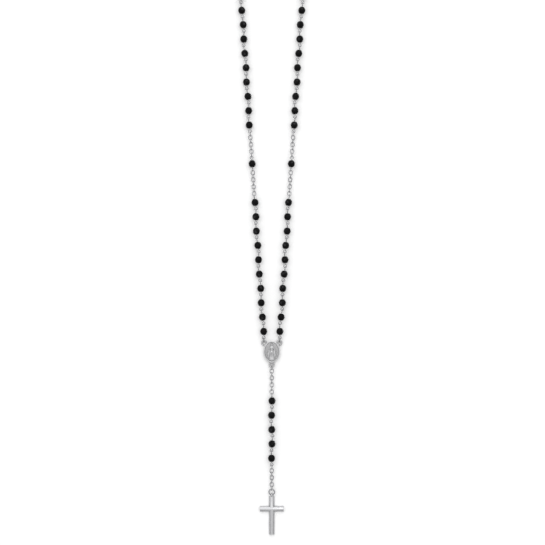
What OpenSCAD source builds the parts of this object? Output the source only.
// Rosary laid out flat. Two strands of linked beads rise from an oval centrepiece
// and close in a round arc, and a pendant of five beads ends in a plain cross.
// X runs across the loop, Y towards its top, and the pieces rest on Z = 0.
// Every bead sits on an eye pin, and each eye is linked with the next eye or link.

/* [Beads] */
// Diameter of a bead
bead_d = 4; // [3:0.1:6]
// Length of a bead along its bore
bead_len = 3.8; // [3:0.1:6]
// Diameter of the flat end of a bead
bead_end_d = 2; // [1.4:0.1:2.6]
// Width of the band round a bead's widest part
bead_band = 0.7; // [0.2:0.1:1.5]
// Distance of a bead's shoulder from its flat end
bead_shoulder = 0.7; // [0.4:0.1:1.2]
// Drop from a bead's widest part to its shoulder
bead_drop = 0.35; // [0.2:0.05:0.6]
// Clearance round the pin in a bead's bore
bore_gap = 0.12; // [0.05:0.01:0.2]

/* [Wire] */
// Diameter of the wire in eyes and chain links
wire_d = 0.45; // [0.35:0.01:0.55]
// How much finer the straight shank of a pin is than its eyes
shank_draw = 0.05; // [0.02:0.01:0.08]
// Outer diameter of a pin's eye
eye_d = 2.05; // [1.9:0.05:3]
// Bare wire between a bead and the eye
neck = 0.5; // [0.3:0.05:1.5]
// Clearance between two linked wires
play = 0.12; // [0.05:0.01:0.2]

/* [Chain] */
// Outer length of a chain link
link_len = 2.95; // [2.6:0.05:4]
// Outer width of a chain link
link_w = 2.3; // [2.1:0.05:2.6]
// Links in each chain beside a lone bead
chain_links = 7; // [5:2:11]
// Height of the lowest link edges above the surface
chain_rise = 0.05; // [0:0.01:0.2]

/* [Loop] */
// Angle of each strand away from the centre line
spread = 3.8; // [2:0.1:8]
// Sideways wander of the linked beads
sway = 0.45; // [0:0.05:0.6]
// Gap where the loop is left open between two eyes
open_gap = 0.3; // [0.1:0.05:1]

/* [Centrepiece] */
// Width of the oval
medal_w = 9; // [7:0.1:14]
// Height of the oval
medal_h = 11.7; // [9:0.1:18]
// Thickness over the rim
medal_t = 1.8; // [1.4:0.1:2.4]
// Thickness of the plate inside the rim
field_t = 1.1; // [0.7:0.1:1.2]
// Width of the raised rim
rim_w = 0.7; // [0.4:0.05:1]
// Height of the figure above the plate
relief_h = 0.5; // [0.2:0.05:0.6]
// Outer diameter of an ear
ear_d = 3.3; // [3:0.1:4]
// Thickness of an ear's ring
ear_wire_d = 0.8; // [0.6:0.05:0.9]
// Place of the two upper ears round the oval
ear_turn = 45; // [35:1:60]
// How far an ear sinks into the rim
ear_bite = 0.35; // [0.2:0.05:0.6]

/* [Jump ring] */
// Outer diameter of the ring that holds the cross
ring_d = 3.7; // [3.3:0.1:5]
// Wire diameter of that ring
ring_wire_d = 0.6; // [0.45:0.05:0.7]

/* [Cross] */
// Height of the cross without its eye
cross_h = 21; // [16:0.5:32]
// Width over the crossbar
cross_w = 13; // [9:0.5:20]
// Width of the upright
upright_w = 3.3; // [2.6:0.1:4.5]
// Width of the crossbar
crossbar_w = 3.4; // [2.6:0.1:4.5]
// Distance from the top end to the middle of the crossbar
crossbar_drop = 7.1; // [5:0.1:10]
// Outer diameter of the cross's eye
cross_eye_d = 2.4; // [2.3:0.1:3.2]
// Thickness of the eye's ring
cross_eye_wire_d = 0.7; // [0.5:0.05:0.8]
// Distance from the eye's centre to the top end of the cross
cross_eye_reach = 0.7; // [0.5:0.05:0.9]

/* [Hidden] */
$fn = 32;
bead_colour = [0.05, 0.05, 0.06];
silver = [0.78, 0.78, 0.80];
golden_angle = 137.5;
outline_points = 72;

wire_r = wire_d / 2;
shank_d = wire_d - shank_draw;
eye_r = (eye_d - wire_d) / 2;
eye_x = bead_len / 2 + neck + eye_d / 2;
link_half = (link_len - wire_d) / 2;
link_side = (link_w - wire_d) / 2;
ear_r = (ear_d - ear_wire_d) / 2;
ring_r = (ring_d - ring_wire_d) / 2;
cross_eye_r = (cross_eye_d - cross_eye_wire_d) / 2;

// A joint point lies midway between two linked wires. These are the distances
// from it back to the centre of the piece that reaches past it.
reach = wire_r + play / 2;
bead_step = 2 * (eye_x + eye_r - reach);
link_step = 2 * (link_half - reach);
ear_step = ear_r - ear_wire_d / 2 - play / 2;
ring_step = 2 * (ring_r - ring_wire_d / 2 - play / 2);
cross_eye_step = cross_eye_r - cross_eye_wire_d / 2 - play / 2;

// Heights of the joint points over the surface
bead_z = bead_d / 2;
ear_z = medal_t / 2;
cross_z = cross_eye_d / 2;
chain_z = link_w / 2 + chain_rise;

// Rows of pieces that move as one, each [name, kind, number of pieces]. They
// run outwards from the centrepiece.
LEFT = [
    ["left_ear_link", "chain", 1],
    ["decade_1_a", "beads", 3],
    ["decade_1_b", "beads", 4],
    ["decade_1_c", "beads", 3],
    ["chain_1", "chain", chain_links],
    ["our_father_1", "beads", 1],
    ["chain_2", "chain", chain_links],
    ["decade_2_a", "beads", 3],
    ["decade_2_b", "beads", 4],
    ["decade_2_c", "beads", 3],
    ["chain_3", "chain", chain_links],
    ["our_father_2", "beads", 1],
    ["chain_4", "chain", chain_links],
    ["decade_3_a", "beads", 3]
];
RIGHT = [
    ["right_ear_link", "chain", 1],
    ["decade_5_c", "beads", 3],
    ["decade_5_b", "beads", 4],
    ["decade_5_a", "beads", 3],
    ["chain_8", "chain", chain_links],
    ["our_father_4", "beads", 1],
    ["chain_7", "chain", chain_links],
    ["decade_4_c", "beads", 3],
    ["decade_4_b", "beads", 4],
    ["decade_4_a", "beads", 3],
    ["chain_6", "chain", chain_links],
    ["our_father_3", "beads", 1],
    ["chain_5", "chain", chain_links],
    ["decade_3_c", "beads", 3],
    ["decade_3_b", "beads", 4]
];
PENDANT = [
    ["pendant_ear_link", "chain", 1],
    ["pendant_chain", "chain", chain_links],
    ["pendant_top", "beads", 1],
    ["pendant_middle", "beads", 3],
    ["pendant_bottom", "beads", 1],
    ["cross_chain", "chain", chain_links]
];

function last(list) = list[len(list) - 1];

function kinds(rows) = [for (row = rows) for (k = [1:row[2]]) row[1]];

// Pieces in the rows before row i
function before(rows, i) = i == 0 ? 0 : rows[i - 1][2] + before(rows, i - 1);

// Height along a chain that sinks to the surface between heights a and b
function sag(a, b, t) = a + (b - a) * t - ((a + b) / 2 - chain_z) * pow(sin(180 * t), 2);

// Height of every joint point, from the ear to the end of the last row
function heights(rows, z_end) = [
    for (i = [0:len(rows) - 1])
        for (k = [0:rows[i][2] - 1])
            i == 0 ? ear_z
            : rows[i][1] == "beads" ? bead_z
            : sag(bead_z, i == len(rows) - 1 ? z_end : bead_z, k / rows[i][2]),
    z_end
];

// Distance of every joint point from the ear, measured on the surface
function distances(rows, z_end) =
    let (
        z = heights(rows, z_end),
        kind = kinds(rows),
        run = [
            for (i = [0:len(kind) - 1])
                sqrt(pow(kind[i] == "beads" ? bead_step : link_step, 2) - pow(z[i + 1] - z[i], 2))
        ]
    )
    [for (i = 0, s = 0; i <= len(run); s = s + (i < len(run) ? run[i] : 0), i = i + 1) s];

// Sideways offset of every joint point: beads wander more than the chains
function wander(rows) =
    let (kind = kinds(rows), n = len(kind))
    [
        for (i = [0:n])
            i == 0 || i == n ? 0
            : sin(golden_angle * i) * (kind[i - 1] == "beads" && kind[i] == "beads" ? sway : sway / 4)
    ];

// The loop: a straight strand from the ear, then an arc to the middle of the top
function oval_point(t, w, h) = [w / 2 * cos(t), h / 2 * sin(t)];
function oval_normal(t) = let (n = [medal_h * cos(t), medal_w * sin(t)]) n / norm(n);
ear_place = oval_point(ear_turn, medal_w, medal_h) + oval_normal(ear_turn) * (ear_d / 2 - ear_bite);
foot_y = -(medal_h + ear_d) / 2 + ear_bite;
start = ear_place + ear_step * [sin(spread), cos(spread)];
seam = 2 * wire_d + play + open_gap;
half_loop = (last(distances(LEFT, bead_z)) + last(distances(RIGHT, bead_z)) + seam) / 2;
arc_share = (90 + spread) * PI / 180 / cos(spread);
straight = (half_loop - start.x * arc_share) / (1 + sin(spread) * arc_share);
arc_r = (start.x + straight * sin(spread)) / cos(spread);
arc_y = start.y + straight * cos(spread) + arc_r * sin(spread);

function loop_point(side, s, off) =
    let (turn = max(0, s - straight) / arc_r * 180 / PI - spread)
    s < straight
        ? [side * (start.x + s * sin(spread) + off * cos(spread)), start.y + s * cos(spread) - off * sin(spread)]
        : [side * (arc_r + off) * cos(turn), arc_y + (arc_r + off) * sin(turn)];

function strand_points(rows, side) =
    let (s = distances(rows, bead_z), off = wander(rows), z = heights(rows, bead_z))
    [for (i = [0:len(s) - 1]) concat(loop_point(side, s[i], off[i]), z[i])];

function pendant_points() =
    let (s = distances(PENDANT, cross_z), off = wander(PENDANT), z = heights(PENDANT, cross_z))
    [for (i = [0:len(s) - 1]) [off[i], foot_y - ear_step - s[i], z[i]]];

LEFT_POINTS = strand_points(LEFT, -1);
RIGHT_POINTS = strand_points(RIGHT, 1);
PENDANT_POINTS = pendant_points();

// The cross hangs in line below the pendant, on its ring
ring_y = last(PENDANT_POINTS).y - ring_step / 2;
cross_eye_y = ring_y - ring_step / 2 - cross_eye_step;
cross_top_y = cross_eye_y - cross_eye_reach;

// The origin is below the middle of the whole piece
half_pitch_turn = asin(bead_step / 2 / arc_r);
top_y = arc_y + (arc_r * cos(half_pitch_turn) + bead_d / 2) * cos(half_pitch_turn);
origin_y = (top_y + cross_top_y - cross_h) / 2;

// Eyes and links lie flat and stand upright by turns, starting upright at the ear
function lies_flat(rows, i) = len([for (k = [0:1:i - 1]) if (kinds(rows)[k] == "chain") k]) % 2 == 1;

module ring(r, d) {
    rotate_extrude()
        translate([r, 0])
            circle(d = d);
}

// Turns a piece drawn along X so that it runs from point a to point b
module between(a, b) {
    d = b - a;
    translate((a + b) / 2)
        rotate([0, -atan2(d.z, norm([d.x, d.y])), atan2(d.y, d.x)])
            children();
}

module bead() {
    profile = [
        [shank_d / 2 + bore_gap, -bead_len / 2],
        [bead_end_d / 2, -bead_len / 2],
        [bead_d / 2 - bead_drop, bead_shoulder - bead_len / 2],
        [bead_d / 2, -bead_band / 2],
        [bead_d / 2, bead_band / 2],
        [bead_d / 2 - bead_drop, bead_len / 2 - bead_shoulder],
        [bead_end_d / 2, bead_len / 2],
        [shank_d / 2 + bore_gap, bead_len / 2]
    ];
    color(bead_colour)
        rotate([0, 90, 0])
            rotate_extrude()
                polygon(profile);
}

// A wire shank with an eye at each end, each lying flat or standing upright
module eye_pin(near_flat, far_flat) {
    color(silver) {
        translate([-eye_x, 0, 0])
            rotate([near_flat ? 0 : 90, 0, 0])
                ring(eye_r, wire_d);
        translate([eye_x, 0, 0])
            rotate([far_flat ? 0 : 90, 0, 0])
                ring(eye_r, wire_d);
        translate([eye_r - eye_x, 0, 0])
            rotate([0, 90, 0])
                cylinder(h = 2 * (eye_x - eye_r), d = shank_d);
    }
}

module chain_link(flat) {
    side_len = 2 * (link_half - link_side);
    color(silver)
        rotate([flat ? 0 : 90, 0, 0]) {
            for (end = [-1, 1]) {
                translate([end * side_len / 2, 0, 0])
                    rotate([0, 0, -90 * end])
                        rotate_extrude(angle = 180)
                            translate([link_side, 0])
                                circle(d = wire_d);
                translate([-side_len / 2, end * link_side, 0])
                    rotate([0, 90, 0])
                        cylinder(h = side_len, d = wire_d);
            }
        }
}

// Pieces of one row: what is "bead", "pin" or "link". A closing strand ends in a
// pin whose two eyes lie alike, so that it faces the other strand's upright eye.
module row_pieces(rows, points, i, what, closing = false) {
    first = before(rows, i);
    for (k = [first:first + rows[i][2] - 1]) {
        flat = lies_flat(rows, k);
        alike = closing && k == len(points) - 2;
        between(points[k], points[k + 1]) {
            if (what == "bead") bead();
            if (what == "pin") eye_pin(flat, alike ? flat : !flat);
            if (what == "link") chain_link(flat);
        }
    }
}

module oval(inset, h) {
    linear_extrude(h)
        polygon([
            for (i = [0:outline_points - 1])
                oval_point(i * 360 / outline_points, medal_w - 2 * inset, medal_h - 2 * inset)
        ]);
}

// A plain robed figure with open hands, in low relief
module figure() {
    w = medal_w - 2 * rim_w;
    h = medal_h - 2 * rim_w;
    head_d = h * 0.17;
    robe = [
        [-0.20 * w, -0.40 * h], [0.20 * w, -0.40 * h], [0.15 * w, -0.05 * h], [0.31 * w, 0.02 * h],
        [0.28 * w, 0.09 * h], [0.11 * w, 0.20 * h], [-0.11 * w, 0.20 * h], [-0.28 * w, 0.09 * h],
        [-0.31 * w, 0.02 * h], [-0.15 * w, -0.05 * h]
    ];
    translate([0, 0, field_t / 2]) {
        linear_extrude(field_t / 2 + relief_h)
            polygon(robe);
        translate([0, 0.20 * h + head_d * 0.42, 0])
            cylinder(h = field_t / 2 + relief_h, d = head_d);
    }
}

module centrepiece() {
    color(silver) {
        oval(rim_w / 2, field_t);
        difference() {
            oval(0, medal_t);
            translate([0, 0, -1])
                oval(rim_w, medal_t + 2);
        }
        figure();
        for (side = [-1, 1])
            translate([side * ear_place.x, ear_place.y, ear_z])
                ring(ear_r, ear_wire_d);
        translate([0, foot_y, ear_z])
            ring(ear_r, ear_wire_d);
    }
}

module jump_ring() {
    color(silver)
        translate([0, ring_y, cross_z])
            ring(ring_r, ring_wire_d);
}

// A bar with a flat back and a half-round front, drawn along X from its middle
module half_round_bar(length, w) {
    intersection() {
        translate([-length / 2, 0, 0])
            rotate([0, 90, 0])
                cylinder(h = length, d = w);
        translate([-length / 2 - 1, -w, 0])
            cube([length + 2, 2 * w, w]);
    }
}

module cross() {
    color(silver) {
        translate([0, cross_top_y - cross_h / 2, 0])
            rotate([0, 0, 90])
                half_round_bar(cross_h, upright_w);
        translate([0, cross_top_y - crossbar_drop, 0])
            half_round_bar(cross_w, crossbar_w);
        translate([0, cross_eye_y, cross_z])
            rotate([0, 90, 0])
                ring(cross_eye_r, cross_eye_wire_d);
    }
}

function row_nodes(row) =
    row[1] == "chain" ? [row[0]]
    : row[2] == 1 ? [str(row[0], "_bead"), str(row[0], "_pin")]
    : [str(row[0], "_beads"), str(row[0], "_pins")];

// One row of a strand, with its beads and its pins as two nodes
module row_of(rows, points, i, closing = false) {
    names = row_nodes(rows[i]);
    if (rows[i][1] == "chain") {
        row_pieces(rows, points, i, "link");
    } else {
        row_pieces(rows, points, i, "bead");
        row_pieces(rows, points, i, "pin", closing);
    }
}

translate([0, -origin_y, 0]) {
    centrepiece();
    jump_ring();
    cross();
    for (i = [0:len(LEFT) - 1]) row_of(LEFT, LEFT_POINTS, i);
    for (i = [0:len(RIGHT) - 1]) row_of(RIGHT, RIGHT_POINTS, i, true);
    for (i = [0:len(PENDANT) - 1]) row_of(PENDANT, PENDANT_POINTS, i);
}
